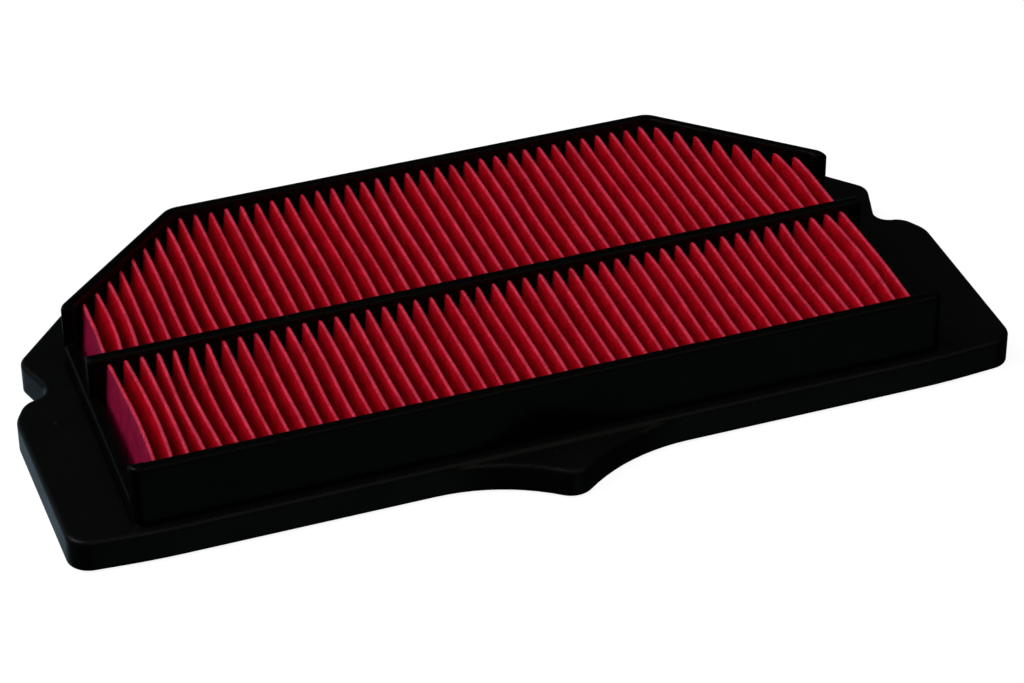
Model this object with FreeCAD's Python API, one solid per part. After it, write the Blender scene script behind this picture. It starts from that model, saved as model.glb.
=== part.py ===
import FreeCAD, Part
import math
import os

# Panel air filter for a motorcycle airbox: a moulded frame with a wide skirted flange,
# a raised hexagonal wall that is low at its two short sides, a centre bar, and two packs
# of pleated filter paper. Millimetres. X runs along the length, Y from the tab (front) to
# the rear, Z up from the seal's underside. The parts are drawn about the middle of the
# wall, and moved at the end so that the origin is the middle of the flange.

Vec = FreeCAD.Vector

# ---- levels above the underside of the seal ----
SEAL_THICK = 2.5
SKIRT_FOOT = 1.0          # the skirt stops short, so the seal stands proud of it
FLANGE_TOP = 12.1
FLANGE_THICK = 2.5
TAB_TOP = 10.9            # the tab is a small step below the flange
RIM_TOP = 34.8
SIDE_TOP = 20.0           # the two short sides are low, and leave the packs' ends open
BAR_TOP = 34.3
GRID_THICK = 2.2
BEAD_DROP = 0.8           # glue beads hold the paper this far above the grid
PLEAT_TOP = 32.4
POTTING_HEIGHT = 4.0

WALL_FOOT = SEAL_THICK
GRID_TOP = WALL_FOOT + GRID_THICK
PLEAT_BOTTOM = GRID_TOP + BEAD_DROP

# ---- raised wall, outer face ----
WALL_FRONT = -68.4
WALL_REAR = 75.8
WALL_HALF = 139.7         # half length where a short side turns into a chamfer
SIDE_LEAN = 1.3           # each short side leans out this much from there to the front
CHAMFER_Y = 29.8          # where a short side turns into a chamfer
REAR_HALF = 89.9          # half length of the rear side
CORNER_FRONT = 3.5
CORNER_SIDE = 6.0
CORNER_REAR = 8.0
POTTED_WALL = 3.8         # thickness of the front, rear and chamfer walls
SIDE_WALL = 4.6           # thickness of the two short sides
CHAMFER_END = 26.9        # the chamfer's wall stands at full height down to here
RIM_ROUND = 1.3
RIM_INNER_ROUND = 0.5
SIDE_ROUND = 0.8

# ---- centre bar ----
BAR_FRONT = -4.8
BAR_WIDTH = 4.0
BAR_ROUND = 1.0
BAR_HALF = 138.8          # the bar's ends stand on the low sides
BAR_REAR = BAR_FRONT + BAR_WIDTH

# ---- flange ----
FLANGE_SHIFT = 2.7        # the flange's middle is this far to the right of the wall's
FLANGE_HALF = 165.9
FLANGE_FRONT = -72.2
FLANGE_REAR = 87.5
SKIRT_THICK = 1.8
EDGE_ROUND = 1.6
FOOT_ROUND = 0.4
RIB_THICK = 1.6
RIB_FOOT = 4.5

# ---- tab ----
TAB_TIP = -87.5
TAB_NOSE = 8.0            # radius of the rounded tip
TAB_FLANK = 64.0          # radius of the hollow flanks

# ---- pips moulded on the flange, tab and bar ----
PIP_RADIUS = 0.9
PIP_HEIGHT = 0.45
FLANGE_PIPS = [(-150.6, -4.2), (150.6, -4.2)]
TAB_PIP = (0.0, -75.6)
BAR_PIPS = [-69.3, 69.3]

# ---- filter paper ----
PLEATS = 48
PITCH = 5.59
PACK_SHIFT = -0.6         # the packs' middle is this far from the wall's
FOLD_OUTER = 0.65         # half width of a fold's outside
FOLD_INNER = 0.05         # half width of a fold's inside
PAPER = 0.6
FIRST_CREST = PACK_SHIFT - PITCH * (PLEATS - 1) / 2
LAST_CREST = FIRST_CREST + PITCH * (PLEATS - 1)

# ---- glue, grid and seal ----
POTTING_WIDTH = 2.2
END_POTTING = 0.6         # the end potting reaches this far past the last fold
BEAD_WIDTH = 1.8
BEAD_RISE = 1.4
GRID_EDGE = 3.0
GRID_RIB = 2.0
GRID_COLUMNS = 5
SEAL_INSET = POTTED_WALL
SEAL_OUTSET = 2.0


def rounded_wire(corners, z):
    """A closed outline through (x, y, radius) corners, each rounded by a tangent arc."""
    spans = []
    for i, (x, y, radius) in enumerate(corners):
        corner = Vec(x, y, z)
        before = Vec(corners[i - 1][0], corners[i - 1][1], z) - corner
        after_x, after_y, _ = corners[(i + 1) % len(corners)]
        after = Vec(after_x, after_y, z) - corner
        before.normalize()
        after.normalize()
        half_angle = before.getAngle(after) / 2
        reach = radius / math.tan(half_angle)
        middle = before + after
        middle.normalize()
        depth = radius / math.sin(half_angle) - radius
        spans.append((corner + before * reach, corner + middle * depth, corner + after * reach))
    edges = []
    for i, (start, middle, finish) in enumerate(spans):
        edges.append(Part.Arc(start, middle, finish).toShape())
        edges.append(Part.LineSegment(finish, spans[(i + 1) % len(spans)][0]).toShape())
    return Part.Wire(edges)


def prism(wire, top):
    """The solid between a flat outline and the level top."""
    base = wire.BoundBox.ZMin
    return Part.Face(wire).extrude(Vec(0, 0, top - base))


def slab(x0, x1, y0, y1, z0, z1):
    return Part.makeBox(x1 - x0, y1 - y0, z1 - z0, Vec(x0, y0, z0))


def level_edges(shape, z):
    """The edges of a shape that lie wholly at one level."""
    def at_level(value):
        return abs(value - z) < 1e-4
    return [e for e in shape.Edges if at_level(e.BoundBox.ZMin) and at_level(e.BoundBox.ZMax)]


def mirrored(half):
    """A symmetric outline from its right half, listed from front to rear."""
    return half + [(-x, y, radius) for x, y, radius in reversed(half)]


def hexagon(front, rear, half, chamfer_y, rear_half, radii):
    return mirrored([(half + SIDE_LEAN, front, radii[0]), (half, chamfer_y, radii[1]),
                     (rear_half, rear, radii[2])])


def inset_hexagon(side, potted, radii):
    """The wall's outline moved inwards: side at the short sides, potted at the others."""
    run = WALL_HALF - REAR_HALF
    rise = WALL_REAR - CHAMFER_Y
    length = math.hypot(run, rise)
    # The chamfer's line is rise * x + run * y = level, moved in along its normal.
    level = rise * WALL_HALF + run * CHAMFER_Y - potted * length
    half = WALL_HALF - side
    rear = WALL_REAR - potted
    chamfer_y = (level - rise * half) / run
    rear_half = (level - run * rear) / rise
    return hexagon(WALL_FRONT + potted, rear, half, chamfer_y, rear_half, radii)


def outer_hexagon():
    return hexagon(WALL_FRONT, WALL_REAR, WALL_HALF, CHAMFER_Y, REAR_HALF,
                   (CORNER_FRONT, CORNER_SIDE, CORNER_REAR))


def inner_hexagon():
    return inset_hexagon(SIDE_WALL, POTTED_WALL, (1.5, 3.0, 4.0))


def main_outline(inset):
    """The flange's outline without its tab, moved inwards, with a notch in each side."""
    half = [
        (138.0, FLANGE_FRONT, 220.0),
        (FLANGE_HALF - 0.5, FLANGE_FRONT + 2.3, 8.0),
        (FLANGE_HALF, 2.3, 11.0),
        (160.9, 11.4, 8.0),
        (151.0, 13.1, 5.2),
        (157.6, 34.6, 6.5),
        (110.5, FLANGE_REAR, 14.0),
    ]
    wire = rounded_wire(mirrored(half), SKIRT_FOOT)
    wire.translate(Vec(FLANGE_SHIFT, 0, 0))
    if inset:
        wire = wire.makeOffset2D(-inset)
    return wire


def tab_outline(inset):
    """The tab: a round nose between two hollow flanks that run into the flange's front edge."""
    edge_y = FLANGE_FRONT + inset
    nose = TAB_NOSE - inset
    flank = TAB_FLANK + inset
    nose_y = TAB_TIP + TAB_NOSE
    flank_y = FLANGE_FRONT - TAB_FLANK
    flank_x = math.sqrt((TAB_NOSE + TAB_FLANK) ** 2 - (nose_y - flank_y) ** 2)
    lean = math.atan2(flank_x, nose_y - flank_y)
    nose_end = (nose * math.sin(lean), nose_y - nose * math.cos(lean))
    flank_middle = (flank_x - flank * math.sin(lean / 2), flank_y + flank * math.cos(lean / 2))
    root_y = FLANGE_FRONT + SKIRT_THICK + 0.1

    def at(x, y):
        return Vec(x, y, SKIRT_FOOT)

    left, right = (-flank_x, edge_y), (flank_x, edge_y)
    edges = [
        Part.Arc(at(*left), at(-flank_middle[0], flank_middle[1]), at(-nose_end[0], nose_end[1])),
        Part.Arc(at(-nose_end[0], nose_end[1]), at(0, nose_y - nose), at(*nose_end)),
        Part.Arc(at(*nose_end), at(*flank_middle), at(*right)),
        Part.LineSegment(at(*right), at(flank_x, root_y)),
        Part.LineSegment(at(flank_x, root_y), at(-flank_x, root_y)),
        Part.LineSegment(at(-flank_x, root_y), at(*left)),
    ]
    wire = Part.Wire([edge.toShape() for edge in edges])
    wire.translate(Vec(FLANGE_SHIFT, 0, 0))
    return wire


def pip(x, y, z):
    """A small domed pip standing on the level z."""
    sphere_radius = (PIP_RADIUS ** 2 + PIP_HEIGHT ** 2) / (2 * PIP_HEIGHT)
    ball = Part.makeSphere(sphere_radius, Vec(x, y, z + PIP_HEIGHT - sphere_radius))
    return ball.common(slab(x - 2, x + 2, y - 2, y + 2, z - 0.2, z + 2))


def flange_ribs():
    """Stiffening ribs under the flange, from the wall to the skirt."""
    top = FLANGE_TOP - FLANGE_THICK + 0.2
    ribs = []
    for y in (-58.0, -34.0, -10.0):
        for side in (-1, 1):
            root = side * (WALL_HALF - 1)
            tip = FLANGE_SHIFT + side * (FLANGE_HALF - 1)
            ribs.append(slab(min(root, tip), max(root, tip), y - RIB_THICK / 2, y + RIB_THICK / 2,
                             RIB_FOOT, top))
    for x in (-81.0, -27.0, 27.0, 81.0):
        ribs.append(slab(x - RIB_THICK / 2, x + RIB_THICK / 2, WALL_REAR - 1, FLANGE_REAR - 1,
                         RIB_FOOT, top))
    return ribs


def base_flange():
    main = prism(main_outline(0), FLANGE_TOP)
    wall = prism(rounded_wire(outer_hexagon(), SKIRT_FOOT), RIM_TOP)
    stepped = main.fuse(wall).removeSplitter()
    outer_edges = level_edges(main, FLANGE_TOP)
    shoulder = [e for e in level_edges(stepped, FLANGE_TOP)
                if any(e.CenterOfMass.distanceToPoint(o.CenterOfMass) < 0.01 for o in outer_edges)]
    foot = [e for e in level_edges(stepped, FLANGE_TOP)
            if not any(e.CenterOfMass.distanceToPoint(o.CenterOfMass) < 0.01 for o in outer_edges)]
    body = stepped.makeFillet(EDGE_ROUND, shoulder)
    foot = [e for e in level_edges(body, FLANGE_TOP)
            if any(e.CenterOfMass.distanceToPoint(f.CenterOfMass) < 0.01 for f in foot)]
    body = body.makeFillet(FOOT_ROUND, foot)
    tab = prism(tab_outline(0), TAB_TOP)
    tab_edge = [e for e in level_edges(tab, TAB_TOP) if e.CenterOfMass.y < FLANGE_FRONT - 0.5]
    tab = tab.makeFillet(EDGE_ROUND, tab_edge)
    body = body.fuse(tab)
    body = body.cut(prism(main_outline(SKIRT_THICK), FLANGE_TOP - FLANGE_THICK))
    body = body.cut(prism(tab_outline(SKIRT_THICK), TAB_TOP - FLANGE_THICK))
    pips = [pip(x, y, FLANGE_TOP) for x, y in FLANGE_PIPS] + [pip(TAB_PIP[0], TAB_PIP[1], TAB_TOP)]
    inside = prism(main_outline(SKIRT_THICK / 2), FLANGE_TOP - FLANGE_THICK / 2)
    ribs = [rib.common(inside) for rib in flange_ribs()]
    return body.fuse(pips + ribs).cut(wall).removeSplitter()


def upper_frame():
    wall = prism(rounded_wire(outer_hexagon(), WALL_FOOT), RIM_TOP)
    wall = wall.makeFillet(RIM_ROUND, level_edges(wall, RIM_TOP))
    opening = prism(rounded_wire(inner_hexagon(), WALL_FOOT), RIM_TOP)
    wall = wall.cut(opening)
    inner = [e for e in level_edges(wall, RIM_TOP) if any(
        e.CenterOfMass.distanceToPoint(o.CenterOfMass) < 0.01 for o in level_edges(opening, RIM_TOP))]
    wall = wall.makeFillet(RIM_INNER_ROUND, inner)
    inner_half = WALL_HALF - SIDE_WALL
    for x0, x1 in ((-WALL_HALF - 2, 1 - inner_half), (inner_half - 1, WALL_HALF + 2)):
        wall = wall.cut(slab(x0, x1, WALL_FRONT + POTTED_WALL, CHAMFER_END, SIDE_TOP, RIM_TOP + 1))
    shoulders = [e for e in level_edges(wall, SIDE_TOP) if abs(e.CenterOfMass.x) > WALL_HALF - 0.1]
    return wall.makeFillet(SIDE_ROUND, shoulders)


def centre_bar():
    inside = prism(rounded_wire(inner_hexagon(), GRID_TOP), RIM_TOP)
    web = slab(-WALL_HALF, WALL_HALF, BAR_FRONT, BAR_REAR, GRID_TOP, BAR_TOP - BAR_ROUND - 1).common(inside)
    top = slab(-BAR_HALF, BAR_HALF, BAR_FRONT, BAR_REAR, SIDE_TOP, BAR_TOP)
    bar = top.makeFillet(BAR_ROUND, level_edges(top, BAR_TOP)).fuse(web)
    middle = (BAR_FRONT + BAR_REAR) / 2
    return bar.fuse([pip(x, middle, BAR_TOP) for x in BAR_PIPS]).removeSplitter()


def pack_space(rear):
    """The space of one paper pack, between the wall's inner faces and the centre bar."""
    space = prism(rounded_wire(inner_hexagon(), GRID_TOP), RIM_TOP)
    y0, y1 = (BAR_REAR, WALL_REAR) if rear else (WALL_FRONT, BAR_FRONT)
    return space.common(slab(-WALL_HALF, WALL_HALF, y0, y1, GRID_TOP, RIM_TOP))


def potting(rear):
    """The glue that holds the foot of a pack against the frame all round."""
    ring = pack_space(rear).common(
        slab(-WALL_HALF, WALL_HALF, WALL_FRONT, WALL_REAR, GRID_TOP, GRID_TOP + POTTING_HEIGHT))
    shrunk = inset_hexagon(POTTED_WALL, POTTED_WALL + POTTING_WIDTH, (1.0, 2.0, 3.0))
    window = prism(rounded_wire(shrunk, GRID_TOP), RIM_TOP)
    if rear:
        y0, y1 = BAR_REAR + POTTING_WIDTH, WALL_REAR
    else:
        y0, y1 = WALL_FRONT, BAR_FRONT - POTTING_WIDTH
    end_fold = PITCH / 2 - END_POTTING
    window = window.common(slab(FIRST_CREST - end_fold, LAST_CREST + end_fold, y0, y1,
                                GRID_TOP, RIM_TOP))
    return ring.cut(window)


def pleated_sheet():
    """The folded paper as a solid of even thickness, long enough for either pack."""
    upper, lower = [], []
    for k in range(PLEATS):
        crest = FIRST_CREST + k * PITCH
        foot = crest - PITCH / 2
        outer_foot = -FOLD_OUTER if k == 0 else -FOLD_INNER
        upper += [(foot + outer_foot, PLEAT_BOTTOM + PAPER), (foot + FOLD_INNER, PLEAT_BOTTOM + PAPER)]
        upper += [(crest - FOLD_OUTER, PLEAT_TOP), (crest + FOLD_OUTER, PLEAT_TOP)]
        lower += [(foot - FOLD_OUTER, PLEAT_BOTTOM), (foot + FOLD_OUTER, PLEAT_BOTTOM)]
        lower += [(crest - FOLD_INNER, PLEAT_TOP - PAPER), (crest + FOLD_INNER, PLEAT_TOP - PAPER)]
    foot = LAST_CREST + PITCH / 2
    upper += [(foot - FOLD_INNER, PLEAT_BOTTOM + PAPER), (foot + FOLD_OUTER, PLEAT_BOTTOM + PAPER)]
    lower += [(foot - FOLD_OUTER, PLEAT_BOTTOM), (foot + FOLD_OUTER, PLEAT_BOTTOM)]
    section = [Vec(x, WALL_FRONT, z) for x, z in upper + lower[::-1]]
    face = Part.Face(Part.makePolygon(section + section[:1]))
    return face.extrude(Vec(0, WALL_REAR - WALL_FRONT, 0))


def spacer_beads(lines, sheet, rear):
    """Hot-melt beads across the feet of the folds, which keep them evenly apart."""
    x0 = FIRST_CREST - PITCH / 2 + END_POTTING
    x1 = LAST_CREST + PITCH / 2 - END_POTTING
    beads = [slab(x0, x1, y - BEAD_WIDTH / 2, y + BEAD_WIDTH / 2, GRID_TOP, PLEAT_BOTTOM + BEAD_RISE)
             for y in lines]
    trimmed = [bead.cut(sheet).cut(potting(rear)) for bead in beads]
    # What is left above the paper, inside the folds, is not part of the bead.
    return Part.makeCompound([max(bead.Solids, key=lambda solid: solid.Volume) for bead in trimmed])


def outlet_grid():
    """The open grid under the packs: an edge, a rib under the bar, and cross ribs."""
    plate = prism(rounded_wire(inner_hexagon(), WALL_FOOT), GRID_TOP)
    shrunk = inset_hexagon(SIDE_WALL + GRID_EDGE, POTTED_WALL + GRID_EDGE, (1.5, 2.0, 2.0))
    window = prism(rounded_wire(shrunk, WALL_FOOT), GRID_TOP)
    ribs = [slab(-WALL_HALF, WALL_HALF, BAR_FRONT, BAR_REAR, WALL_FOOT, GRID_TOP)]
    for y in GRID_LINES:
        ribs.append(slab(-WALL_HALF, WALL_HALF, y - GRID_RIB / 2, y + GRID_RIB / 2, WALL_FOOT, GRID_TOP))
    spacing = 2 * WALL_HALF / (GRID_COLUMNS + 1)
    for i in range(GRID_COLUMNS):
        x = spacing * (i + 1) - WALL_HALF
        ribs.append(slab(x - GRID_RIB / 2, x + GRID_RIB / 2, WALL_FRONT, WALL_REAR, WALL_FOOT, GRID_TOP))
    lattice = ribs[0].fuse(ribs[1:]).common(window)
    return plate.cut(window).fuse(lattice).removeSplitter()


def flange_seal():
    outer = rounded_wire(outer_hexagon(), 0).makeOffset2D(SEAL_OUTSET)
    inner = rounded_wire(inset_hexagon(SEAL_INSET, SEAL_INSET, (2.0, 3.0, 4.0)), 0)
    return prism(outer, SEAL_THICK).cut(prism(inner, SEAL_THICK))


FRONT_MIDDLE = (WALL_FRONT + POTTED_WALL + BAR_FRONT) / 2
REAR_THIRD = (WALL_REAR - POTTED_WALL - BAR_REAR) / 3
GRID_LINES = [FRONT_MIDDLE, BAR_REAR + REAR_THIRD, BAR_REAR + 2 * REAR_THIRD]
FRONT_BEADS = [FRONT_MIDDLE - 15, FRONT_MIDDLE + 15]
REAR_BEADS = [BAR_REAR + REAR_THIRD / 2, BAR_REAR + REAR_THIRD * 3 / 2, BAR_REAR + REAR_THIRD * 5 / 2]


def main():
    os.makedirs("parts", exist_ok=True)
    sheet = pleated_sheet()
    front_potting = potting(False)
    rear_potting = potting(True)
    nodes = {
        "base_flange": base_flange(),
        "upper_frame": upper_frame(),
        "centre_bar": centre_bar(),
        "front_pleat_pack": sheet.common(pack_space(False)).cut(front_potting),
        "rear_pleat_pack": sheet.common(pack_space(True)).cut(rear_potting),
        "front_potting": front_potting,
        "rear_potting": rear_potting,
        "front_spacer_beads": spacer_beads(FRONT_BEADS, sheet, False),
        "rear_spacer_beads": spacer_beads(REAR_BEADS, sheet, True),
        "outlet_grid": outlet_grid(),
        "flange_seal": flange_seal(),
    }
    for name, shape in nodes.items():
        shape.translate(Vec(-FLANGE_SHIFT, 0, 0))
        shape.exportStep("parts/" + name + ".step")
        box = shape.BoundBox
        print("%-20s solids %3d  valid %s  volume %9.1f  x %.1f..%.1f  y %.1f..%.1f  z %.2f..%.2f" % (
            name, len(shape.Solids), shape.isValid(), shape.Volume,
            box.XMin, box.XMax, box.YMin, box.YMax, box.ZMin, box.ZMax))


main()
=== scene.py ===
import bpy
import math
import random
from mathutils import Matrix, Vector


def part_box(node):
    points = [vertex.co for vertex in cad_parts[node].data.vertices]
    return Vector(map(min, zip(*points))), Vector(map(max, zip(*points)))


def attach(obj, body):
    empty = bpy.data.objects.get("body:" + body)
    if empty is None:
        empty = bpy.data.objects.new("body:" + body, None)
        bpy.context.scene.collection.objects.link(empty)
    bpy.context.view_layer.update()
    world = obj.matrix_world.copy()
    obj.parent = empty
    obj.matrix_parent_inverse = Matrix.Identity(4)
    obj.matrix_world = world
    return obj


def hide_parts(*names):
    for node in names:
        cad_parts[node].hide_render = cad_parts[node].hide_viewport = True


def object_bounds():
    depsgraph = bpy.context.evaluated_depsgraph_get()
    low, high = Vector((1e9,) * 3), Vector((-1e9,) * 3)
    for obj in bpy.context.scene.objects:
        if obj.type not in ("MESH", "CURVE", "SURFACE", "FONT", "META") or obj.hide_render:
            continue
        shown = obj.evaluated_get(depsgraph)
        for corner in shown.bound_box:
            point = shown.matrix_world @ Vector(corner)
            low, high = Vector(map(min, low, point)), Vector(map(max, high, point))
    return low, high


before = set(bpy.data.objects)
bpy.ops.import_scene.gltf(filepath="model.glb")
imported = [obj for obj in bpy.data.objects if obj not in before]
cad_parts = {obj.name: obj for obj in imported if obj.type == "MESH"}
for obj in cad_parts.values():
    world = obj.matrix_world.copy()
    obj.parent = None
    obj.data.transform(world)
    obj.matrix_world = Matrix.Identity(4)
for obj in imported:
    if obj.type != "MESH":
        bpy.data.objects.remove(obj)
cad_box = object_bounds()

# Panel air filter: the frame, seal, grid and glue are CAD nodes with better materials, and the two
# packs of pleated paper are folded sheets made here. Metres, in the frame's own axes.

MM = 0.001
random.seed(7)

# ---- the photo's camera: place in metres, turns in degrees, lens in millimetres ----
CAMERA_PLACE = (-0.3254, -0.9500, 0.7110)
CAMERA_AZIMUTH = -19.34
CAMERA_ELEVATION = 35.13
CAMERA_ROLL = 0.654
CAMERA_LENS = 125.2

# ---- what the glossy plastic mirrors: a dim room, and glows as (way to it, where its edge starts,
# where it is full, colour); the second and third are cosines of the angle from its middle ----
ROOM = (0.012, 0.013, 0.014, 1)
GLOWS = (
    ((0.2, -0.6, 0.75), 0.75, 0.95, (0.24, 0.23, 0.19, 1)),        # overhead, towards the front
    ((-0.75, 0.6, 0.2), 0.80, 0.97, (0.14, 0.16, 0.18, 1)),        # left and behind, a little above level
    ((-0.1, 0.85, -0.52), 0.70, 0.97, (0.18, 0.26, 0.31, 1)),      # low behind it, pale blue
    ((0.25, -0.78, -0.57), 0.90, 0.99, (0.08, 0.10, 0.105, 1)),    # low in front
    ((-0.5, 0.25, 0.83), 0.975, 0.99, (6.0, 5.8, 5.5, 1)),         # small lamp that the pips catch
)

# ---- pleated paper ----
PLEATS = 48
PITCH = 5.59 * MM
PAPER = 0.45 * MM
CREST_RADIUS = 0.44 * MM     # of the paper's middle layer
VALLEY_RADIUS = 0.45 * MM
CREST_STEPS = 8
VALLEY_STEPS = 4
FLANK_STEPS = 6
ROW_LENGTH = 2.4 * MM
END_TUCK = 0.3 * MM          # the sheet's cut ends are set this deep in the frame
END_SAG = 0.55 * MM          # how much a crest drops where it meets the frame
END_SAG_REACH = 1.6 * MM
SWAY_CURVE = 1.4             # power of the height: a fold's foot is glued, and its crest sways most

# ---- how the folds wander: shared is a drift along the pack, own is each fold's random part ----
CREST_LEAN = 0.3 * MM        # all crests stand this far to the right of their feet
BOW_SHARED = 0.20 * MM
BOW_RATE = 0.55              # radians of drift from one fold to the next
BOW_OWN = 0.12 * MM
TWIST_SHARED = 0.12 * MM
TWIST_RATE = 0.31
TWIST_OWN = 0.08 * MM
RIPPLE_OWN = 0.05 * MM
HEIGHT_OWN = 0.10 * MM
HEIGHT_WAVE = 0.10 * MM
HEIGHT_DROP = 0.12 * MM      # how far below the CAD pack's top the crests are on average
LOOSE_FOLD, LOOSE_SPREAD = 1.1, 1.2         # place and spread, counted in folds from the pack's end
PRESSED_FOLD, PRESSED_SPREAD = 4.5, 2.1

# ---- outline of the wall round the rear pack, as in the CAD model ----
WALL_HALF = 139.7 * MM
WALL_REAR = 75.8 * MM
CHAMFER_Y = 29.8 * MM
REAR_HALF = 89.9 * MM
POTTED_WALL = 3.8 * MM


# ---------------------------------------------------------------- node helpers

class Nodes:
    """A short way to write a node tree: add nodes, set their inputs and link them."""

    def __init__(self, tree):
        self.tree = tree
        tree.nodes.clear()

    def add(self, kind, inputs=None, **settings):
        node = self.tree.nodes.new(kind)
        for name, value in settings.items():
            setattr(node, name, value)
        for name, value in (inputs or {}).items():
            self.feed(node.inputs[name], value)
        return node

    def feed(self, socket, value):
        if isinstance(value, bpy.types.NodeSocket):
            self.tree.links.new(value, socket)
        else:
            socket.default_value = value

    def noise(self, vector, scale, detail=3.0, roughness=0.5):
        node = self.add("ShaderNodeTexNoise", {"Vector": vector, "Scale": scale, "Detail": detail,
                                               "Roughness": roughness})
        return node.outputs["Fac"]

    def stretch(self, vector, scale):
        return self.add("ShaderNodeMapping", {"Vector": vector, "Scale": scale}).outputs[0]

    def along(self, vector, axis):
        return self.add("ShaderNodeSeparateXYZ", {"Vector": vector}).outputs[axis]

    def spread(self, value, low, high, to_low, to_high):
        """value from low..high turned smoothly into to_low..to_high."""
        node = self.add("ShaderNodeMapRange", {"Value": value, "From Min": low, "From Max": high,
                                               "To Min": to_low, "To Max": to_high},
                        interpolation_type="SMOOTHSTEP")
        return node.outputs[0]

    def maths(self, operation, a, b):
        node = self.add("ShaderNodeMath", operation=operation)
        self.feed(node.inputs[0], a)
        self.feed(node.inputs[1], b)
        return node.outputs[0]

    def mix(self, factor, a, b, blend="MIX"):
        node = self.add("ShaderNodeMix", data_type="RGBA", blend_type=blend)
        self.feed(node.inputs[0], factor)
        self.feed(node.inputs[6], a)
        self.feed(node.inputs[7], b)
        return node.outputs[2]

    def shade(self, colour, factor):
        """colour made darker or lighter by a factor."""
        grey = self.add("ShaderNodeCombineColor", {"Red": factor, "Green": factor, "Blue": factor})
        return self.mix(1.0, colour, grey.outputs[0], "MULTIPLY")

    def bump(self, height, distance, strength=1.0, normal=None):
        inputs = {"Height": height, "Distance": distance, "Strength": strength}
        if normal is not None:
            inputs["Normal"] = normal
        return self.add("ShaderNodeBump", inputs).outputs[0]


def new_material(name, **shader_values):
    """A material with its shader's even values set. Returns it with its nodes, shader and coordinates."""
    material = bpy.data.materials.new(name)
    material.use_nodes = True
    nodes = Nodes(material.node_tree)
    output = nodes.add("ShaderNodeOutputMaterial")
    shader = nodes.add("ShaderNodeBsdfPrincipled")
    nodes.feed(output.inputs["Surface"], shader.outputs[0])
    for socket, value in shader_values.items():
        shader.inputs[socket].default_value = value
    place = nodes.add("ShaderNodeTexCoord").outputs["Object"]
    return material, nodes, shader, place


# ------------------------------------------------------------------- materials

def black_plastic(name, shine, body_low, body_high):
    """Moulded black polypropylene with a faint flow pattern, fine grain, scuffs, dust and soft edges."""
    material, nodes, shader, place = new_material(name, IOR=1.49, **{"Specular IOR Level": shine})
    flow = nodes.noise(nodes.stretch(place, (9, 26, 26)), 3.0, 4.0)
    cloud = nodes.noise(place, 38.0, 5.0, 0.6)
    grain = nodes.noise(place, 2600.0, 2.0)
    scratches = nodes.noise(nodes.stretch(place, (60, 900, 700)), 1.0, 3.0, 0.7)
    scuff = nodes.spread(scratches, 0.66, 0.80, 0.0, 1.0)
    scuff_colour = (0.014, 0.015, 0.016, 1)
    dust = nodes.spread(nodes.noise(place, 900.0, 2.0), 0.70, 0.80, 0.0, 1.0)
    dust_colour = (0.05, 0.05, 0.046, 1)
    body = nodes.mix(flow, body_low, body_high)
    body = nodes.mix(nodes.maths("MULTIPLY", scuff, 0.3), body, scuff_colour)
    body = nodes.mix(nodes.maths("MULTIPLY", dust, 0.2), body, dust_colour)
    nodes.feed(shader.inputs["Base Color"], body)
    rough = nodes.spread(cloud, 0.3, 0.7, 0.24, 0.36)
    rough = nodes.maths("ADD", rough, nodes.maths("MULTIPLY", scuff, 0.2))
    nodes.feed(shader.inputs["Roughness"], rough)
    soft_edges = nodes.add("ShaderNodeBevel", {"Radius": 1.6 * MM}, samples=6).outputs[0]
    normal = nodes.bump(cloud, 0.05 * MM, 0.35, soft_edges)
    nodes.feed(shader.inputs["Normal"], nodes.bump(grain, 0.012 * MM, 0.5, normal))
    return material


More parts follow.
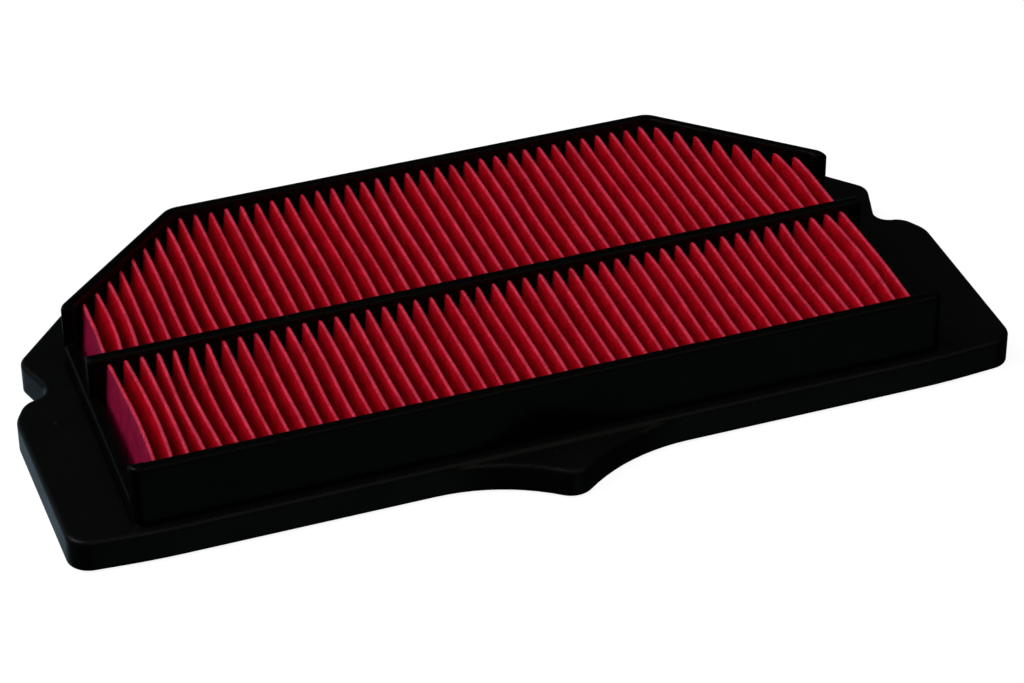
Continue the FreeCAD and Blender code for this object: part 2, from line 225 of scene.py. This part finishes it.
def filter_paper(pack_middle):
    """Red oil-wetted filter paper of matted fibres, with painted shade deep in the folds and a painted
    sheen on the crests.

    The left-facing flank of the first fold is darker and more purple. pack_middle is the X of the packs'
    middle.
    """
    material, nodes, shader, place = new_material("filter_paper", IOR=1.45, **{
        "Specular IOR Level": 0.3})
    height = nodes.along(place, "Z")
    fibre = nodes.noise(nodes.stretch(place, (1.0, 0.45, 1.0)), 1500.0, 4.0, 0.65)
    cross = nodes.noise(nodes.stretch(place, (1.0, 1.0, 0.4)), 2300.0, 3.0, 0.6)
    blotch = nodes.noise(place, 140.0, 3.0, 0.6)
    mat = nodes.maths("ADD", nodes.maths("MULTIPLY", fibre, 0.6), nodes.maths("MULTIPLY", cross, 0.4))
    # Painted shade at the bottom of the folds.
    deep = (0.30, 0.0002, 0.0004, 1)
    flank = (0.42, 0.0016, 0.009, 1)
    # Painted sheen on the crests.
    crest = (0.47, 0.028, 0.062, 1)
    end_flank = (0.24, 0.005, 0.038, 1)
    # Painted shade: the paper darkens towards the bottom of the folds, reaching the flank colour at 26
    # mm.
    above_fold_shade = nodes.spread(height, 12 * MM, 26 * MM, 0.0, 1.0)
    colour = nodes.mix(above_fold_shade, deep, flank)
    first_crest = pack_middle - (PLEATS - 1) / 2 * PITCH
    past_first = first_crest + 1.2 * MM
    first_fold = nodes.spread(nodes.along(place, "X"), past_first, past_first + 0.8 * MM, 1.0, 0.0)
    # The left-facing flank of the first fold is made darker and more purple.
    facing = nodes.add("ShaderNodeTexCoord").outputs["Normal"]
    left_side = nodes.spread(nodes.along(facing, "X"), -0.6, -0.3, 1.0, 0.0)
    colour = nodes.mix(nodes.maths("MULTIPLY", first_fold, left_side), colour, end_flank)
    # Painted sheen on the crests, by height, with a blotchy edge.
    painted_crest_sheen = nodes.spread(nodes.maths("ADD", height, nodes.maths("MULTIPLY", blotch, 0.5 * MM)),
                        31.5 * MM, 32.6 * MM, 0.0, 1.0)
    colour = nodes.mix(painted_crest_sheen, colour, crest)
    colour = nodes.shade(colour, nodes.spread(mat, 0.32, 0.68, 0.62, 1.35))
    colour = nodes.shade(colour, nodes.spread(blotch, 0.35, 0.65, 0.86, 1.10))
    nodes.feed(shader.inputs["Base Color"], colour)
    nodes.feed(shader.inputs["Roughness"], nodes.spread(blotch, 0.3, 0.7, 0.48, 0.68))
    normal = nodes.bump(mat, 0.09 * MM, 0.8)
    nodes.feed(shader.inputs["Normal"], nodes.bump(blotch, 0.2 * MM, 0.4, normal))
    return material


def potting_glue():
    """Cast black polyurethane with a slightly wavy skin and small burst bubbles."""
    material, nodes, shader, place = new_material("potting_glue", IOR=1.5)
    wave = nodes.noise(place, 90.0, 3.0)
    bubble = nodes.add("ShaderNodeTexVoronoi", {"Vector": place, "Scale": 700.0}).outputs["Distance"]
    pit = nodes.spread(bubble, 0.06, 0.16, 0.0, 1.0)
    body = nodes.mix(wave, (0.008, 0.008, 0.009, 1), (0.02, 0.019, 0.018, 1))
    nodes.feed(shader.inputs["Base Color"], body)
    nodes.feed(shader.inputs["Roughness"], nodes.spread(wave, 0.3, 0.7, 0.3, 0.5))
    normal = nodes.bump(wave, 0.5 * MM, 0.5)
    nodes.feed(shader.inputs["Normal"], nodes.bump(pit, 0.15 * MM, 0.7, normal))
    return material


def bead_glue():
    """Hot-melt glue: cream, waxy and slightly clear, with drawn-out ripples."""
    material, nodes, shader, place = new_material("bead_glue", IOR=1.48, **{
        "Subsurface Weight": 0.25, "Subsurface Radius": (2 * MM, 1.4 * MM, 0.8 * MM),
        "Subsurface Scale": 1.0})
    ripple = nodes.noise(nodes.stretch(place, (420, 160, 160)), 1.0, 2.0)
    tint = nodes.noise(place, 260.0, 3.0)
    body = nodes.mix(tint, (0.50, 0.42, 0.27, 1), (0.68, 0.61, 0.45, 1))
    nodes.feed(shader.inputs["Base Color"], body)
    nodes.feed(shader.inputs["Roughness"], nodes.spread(tint, 0.3, 0.7, 0.28, 0.45))
    nodes.feed(shader.inputs["Normal"], nodes.bump(ripple, 0.3 * MM, 0.6))
    return material


def seal_rubber():
    """Closed-cell black foam: matt, with cut cells and a little pale dust in them."""
    material, nodes, shader, place = new_material("seal_rubber", IOR=1.45, **{"Specular IOR Level": 0.3})
    cells = nodes.add("ShaderNodeTexVoronoi", {"Vector": place, "Scale": 1500.0}).outputs["Distance"]
    cloud = nodes.noise(place, 120.0, 4.0)
    open_cell = nodes.spread(cells, 0.1, 0.5, 0.0, 1.0)
    body = nodes.mix(cloud, (0.012, 0.012, 0.013, 1), (0.022, 0.022, 0.022, 1))
    body = nodes.mix(nodes.maths("MULTIPLY", open_cell, 0.25), body, (0.05, 0.05, 0.048, 1))
    nodes.feed(shader.inputs["Base Color"], body)
    nodes.feed(shader.inputs["Roughness"], nodes.spread(cloud, 0.3, 0.7, 0.7, 0.9))
    nodes.feed(shader.inputs["Normal"], nodes.bump(cells, 0.12 * MM, 0.9))
    return material


def paint(node_names, material):
    """Gives CAD nodes a better material."""
    for name in node_names:
        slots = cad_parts[name].data.materials
        slots.clear()
        slots.append(material)


# --------------------------------------------------------------- pleated paper

def fold_profile(height):
    """One fold's middle line from valley to valley, as (x, z).

    The crest is at x 0, and z runs from 0 to height.
    """
    half = PITCH / 2
    rise = height - CREST_RADIUS - VALLEY_RADIUS
    reach = math.hypot(half, rise)
    lean = math.atan2(half, rise) - math.asin((CREST_RADIUS + VALLEY_RADIUS) / reach)
    turn = math.pi / 2 - lean

    def arc(x, z, radius, start, finish, steps):
        angles = [start + (finish - start) * i / steps for i in range(steps + 1)]
        return [(x + radius * math.sin(a), z + radius * math.cos(a)) for a in angles]

    crest = arc(0, height - CREST_RADIUS, CREST_RADIUS, -turn, turn, CREST_STEPS)
    left = arc(-half, VALLEY_RADIUS, VALLEY_RADIUS, math.pi, math.pi - turn, VALLEY_STEPS // 2)
    right = arc(half, VALLEY_RADIUS, VALLEY_RADIUS, turn - math.pi, -math.pi, VALLEY_STEPS // 2)

    def flank(start, finish):
        return [(start[0] + (finish[0] - start[0]) * i / FLANK_STEPS,
                 start[1] + (finish[1] - start[1]) * i / FLANK_STEPS) for i in range(1, FLANK_STEPS)]

    return left + flank(left[-1], crest[0]) + crest + flank(crest[-1], right[0]) + right


class Waver:
    """How one pack's folds wander: a drift shared with their neighbours, and a little of their own.

    At each end of the pack the last folds are loose and bow one way, and the next ones are pressed the
    other way: left and right are (loose, pressed). fan is how far the outer folds lean to the middle
    at the rear, where the wall narrows. All are lengths.
    """

    def __init__(self, fan, left, right):
        self.fan = fan
        self.ends = (left, right)
        self.bow_phase, self.twist_phase, _ = [random.uniform(0, 2 * math.pi) for _ in range(3)]
        self.own = [[random.gauss(0, 1) for _ in range(5)] for _ in range(PLEATS)]

    def end_bow(self, k):
        total = 0
        for (loose, pressed), from_end in zip(self.ends, (k, PLEATS - 1 - k)):
            total += loose * math.exp(-((from_end - LOOSE_FOLD) / LOOSE_SPREAD) ** 2)
            total -= pressed * math.exp(-((from_end - PRESSED_FOLD) / PRESSED_SPREAD) ** 2)
        return total

    def sideways(self, k, t):
        """How far fold k's crest lies to the right at t, from 0 in front to 1 at the rear."""
        own_bow, own_twist, own_ripple, _, _ = self.own[k]
        from_middle = 2 * k / (PLEATS - 1) - 1
        bow = BOW_SHARED * math.sin(BOW_RATE * k + self.bow_phase) + BOW_OWN * own_bow + self.end_bow(k)
        twist = TWIST_SHARED * math.sin(TWIST_RATE * k + self.twist_phase) + TWIST_OWN * own_twist
        ripple = RIPPLE_OWN * own_ripple
        return (CREST_LEAN + bow * math.sin(math.pi * t) + twist * math.sin(2 * math.pi * t)
                + ripple * math.sin(3 * math.pi * t) - self.fan * from_middle * t)

    def lift(self, k, t):
        """How far fold k's crest lies above its even height at t."""
        own_height, own_phase = self.own[k][3:]
        wave = HEIGHT_WAVE * math.sin(2 * math.pi * t + 2 * own_phase)
        return HEIGHT_OWN * own_height - HEIGHT_DROP + wave


def rear_limit(x, rear):
    """How far back the wall lets the paper reach, with x measured from the wall's middle."""
    run = WALL_HALF - REAR_HALF
    rise = WALL_REAR - CHAMFER_Y
    level = rise * WALL_HALF + run * CHAMFER_Y - POTTED_WALL * math.hypot(run, rise)
    return min(rear, (level - rise * abs(x)) / run)


def pleated_pack(name, node, waver, material):
    """A pack's folded sheet, which takes the place of its CAD node."""
    low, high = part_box(node)
    wall_low, wall_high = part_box("upper_frame")
    middle = (low[0] + high[0]) / 2
    off_middle = middle - (wall_low[0] + wall_high[0]) / 2
    height = high[2] - low[2] - PAPER
    profile = fold_profile(height)
    rows = round((high[1] - low[1]) / ROW_LENGTH)
    vertices = []
    for k in range(PLEATS):
        crest_x = (k - (PLEATS - 1) / 2) * PITCH
        # Neighbouring folds share their valley's point.
        for x, z in (profile if k == 0 else profile[1:]):
            front = low[1] - END_TUCK
            rear = rear_limit(crest_x + x + off_middle, high[1]) + END_TUCK
            sway = (z / height) ** SWAY_CURVE
            for row in range(rows + 1):
                t = row / rows
                y = front + (rear - front) * t
                from_end = min(y - front, rear - y)
                sag = END_SAG * math.exp(-(from_end / END_SAG_REACH) ** 2)
                vertices.append((middle + crest_x + x + sway * waver.sideways(k, t), y,
                                 low[2] + PAPER / 2 + z + sway * (waver.lift(k, t) - sag)))
    columns = len(vertices) // (rows + 1)
    faces = []
    for column in range(columns - 1):
        for row in range(rows):
            a = column * (rows + 1) + row
            faces.append((a, a + rows + 1, a + rows + 2, a + 1))
    mesh = bpy.data.meshes.new(name)
    mesh.from_pydata(vertices, [], faces)
    mesh.shade_smooth()
    mesh.materials.append(material)
    pack = bpy.data.objects.new(name, mesh)
    bpy.context.scene.collection.objects.link(pack)
    solid = pack.modifiers.new("paper", "SOLIDIFY")
    solid.thickness = PAPER
    solid.offset = 0
    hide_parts(node)
    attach(pack, "root")


# ------------------------------------------------------------ studio and camera

def camera():
    """The photo's own view."""
    data = bpy.data.cameras.new("camera")
    data.lens = CAMERA_LENS
    data.sensor_width = 36.0
    data.clip_start = 0.01
    holder = bpy.data.objects.new("camera", data)
    turn = (Matrix.Rotation(math.radians(CAMERA_AZIMUTH), 4, "Z")
            @ Matrix.Rotation(math.radians(90 - CAMERA_ELEVATION), 4, "X")
            @ Matrix.Rotation(math.radians(-CAMERA_ROLL), 4, "Z"))
    holder.matrix_world = Matrix.Translation(CAMERA_PLACE) @ turn
    bpy.context.scene.collection.objects.link(holder)
    bpy.context.scene.camera = holder


def softbox(name, place, target, size, power, colour):
    """A soft lamp that lights the paper; the plastic mirrors the world's glows instead."""
    data = bpy.data.lights.new(name, "AREA")
    data.shape = "RECTANGLE"
    data.size, data.size_y = size
    data.energy = power
    data.color = colour
    light = bpy.data.objects.new(name, data)
    aim = (Vector(target) - Vector(place)).to_track_quat("-Z", "Y")
    light.matrix_world = Matrix.Translation(place) @ aim.to_matrix().to_4x4()
    light.visible_glossy = False
    bpy.context.scene.collection.objects.link(light)


def studio_floor():
    """A floor that glows as white as the backdrop, so that neither its edge nor a shadow shows."""
    data = bpy.data.meshes.new("studio_floor")
    half = 6.0
    level = cad_box[0][2]
    corners = [(-half, -half, level), (half, -half, level), (half, half, level), (-half, half, level)]
    data.from_pydata(corners, [], [(0, 1, 2, 3)])
    floor = bpy.data.objects.new("studio_floor", data)
    bpy.context.scene.collection.objects.link(floor)
    data.materials.append(new_material("studio_floor", **{
        "Roughness": 0.9, "Specular IOR Level": 0.1, "Base Color": (0.15, 0.15, 0.15, 1),
        "Emission Color": (1, 1, 1, 1), "Emission Strength": 0.92})[0])
    floor.visible_glossy = False
    floor.visible_diffuse = False


def studio_world():
    """White to the camera, and otherwise a dim room whose glows show only in reflections."""
    world = bpy.data.worlds.new("studio")
    bpy.context.scene.world = world
    world.use_nodes = True
    nodes = Nodes(world.node_tree)
    output = nodes.add("ShaderNodeOutputWorld")
    way = nodes.add("ShaderNodeTexCoord").outputs["Generated"]
    room = ROOM
    for direction, start, full, colour in GLOWS:
        nearness = nodes.add("ShaderNodeVectorMath", operation="DOT_PRODUCT")
        nodes.feed(nearness.inputs[0], way)
        nodes.feed(nearness.inputs[1], Vector(direction).normalized())
        room = nodes.mix(nodes.spread(nearness.outputs["Value"], start, full, 0.0, 1.0), room, colour)
    path = nodes.add("ShaderNodeLightPath").outputs
    room = nodes.mix(path["Is Glossy Ray"], ROOM, room)
    reflected = nodes.add("ShaderNodeBackground", {"Color": room, "Strength": 1.0})
    seen = nodes.add("ShaderNodeBackground", {"Color": (1, 1, 1, 1), "Strength": 1.0})
    choose = nodes.add("ShaderNodeMixShader", {0: path["Is Camera Ray"]})
    nodes.feed(choose.inputs[1], reflected.outputs[0])
    nodes.feed(choose.inputs[2], seen.outputs[0])
    nodes.feed(output.inputs["Surface"], choose.outputs[0])


def studio():
    studio_floor()
    studio_world()
    middle = (0, 0, 20 * MM)
    softbox("key_left", (-1.15, 0.15, 1.15), middle, (1.1, 1.4), 20, (1.0, 0.97, 0.95))
    softbox("top", (-0.05, -0.35, 1.7), middle, (1.5, 1.0), 14, (0.96, 0.98, 1.0))
    view = bpy.context.scene.view_settings
    view.view_transform = "Standard"
    view.look = "None"


# ------------------------------------------------------------------------ build

paint(["base_flange", "outlet_grid"],
      black_plastic("satin_plastic", 0.25, (0.0016, 0.0018, 0.0018, 1), (0.0027, 0.0028, 0.0027, 1)))
paint(["upper_frame", "centre_bar"],
      black_plastic("gloss_plastic", 0.18, (0.0005, 0.0006, 0.0006, 1), (0.0010, 0.0010, 0.0010, 1)))
paint(["front_potting", "rear_potting"], potting_glue())
paint(["front_spacer_beads", "rear_spacer_beads"], bead_glue())
paint(["flange_seal"], seal_rubber())
pack_low, pack_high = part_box("front_pleat_pack")
paper = filter_paper((pack_low[0] + pack_high[0]) / 2)
front_waver = Waver(fan=0.0, left=(1.2 * MM, 0.9 * MM), right=(1.1 * MM, 1.0 * MM))
pleated_pack("front_pleated_paper", "front_pleat_pack", front_waver, paper)
rear_waver = Waver(fan=0.8 * MM, left=(1.0 * MM, 0.0), right=(0.7 * MM, 0.6 * MM))
pleated_pack("rear_pleated_paper", "rear_pleat_pack", rear_waver, paper)
camera()
studio()
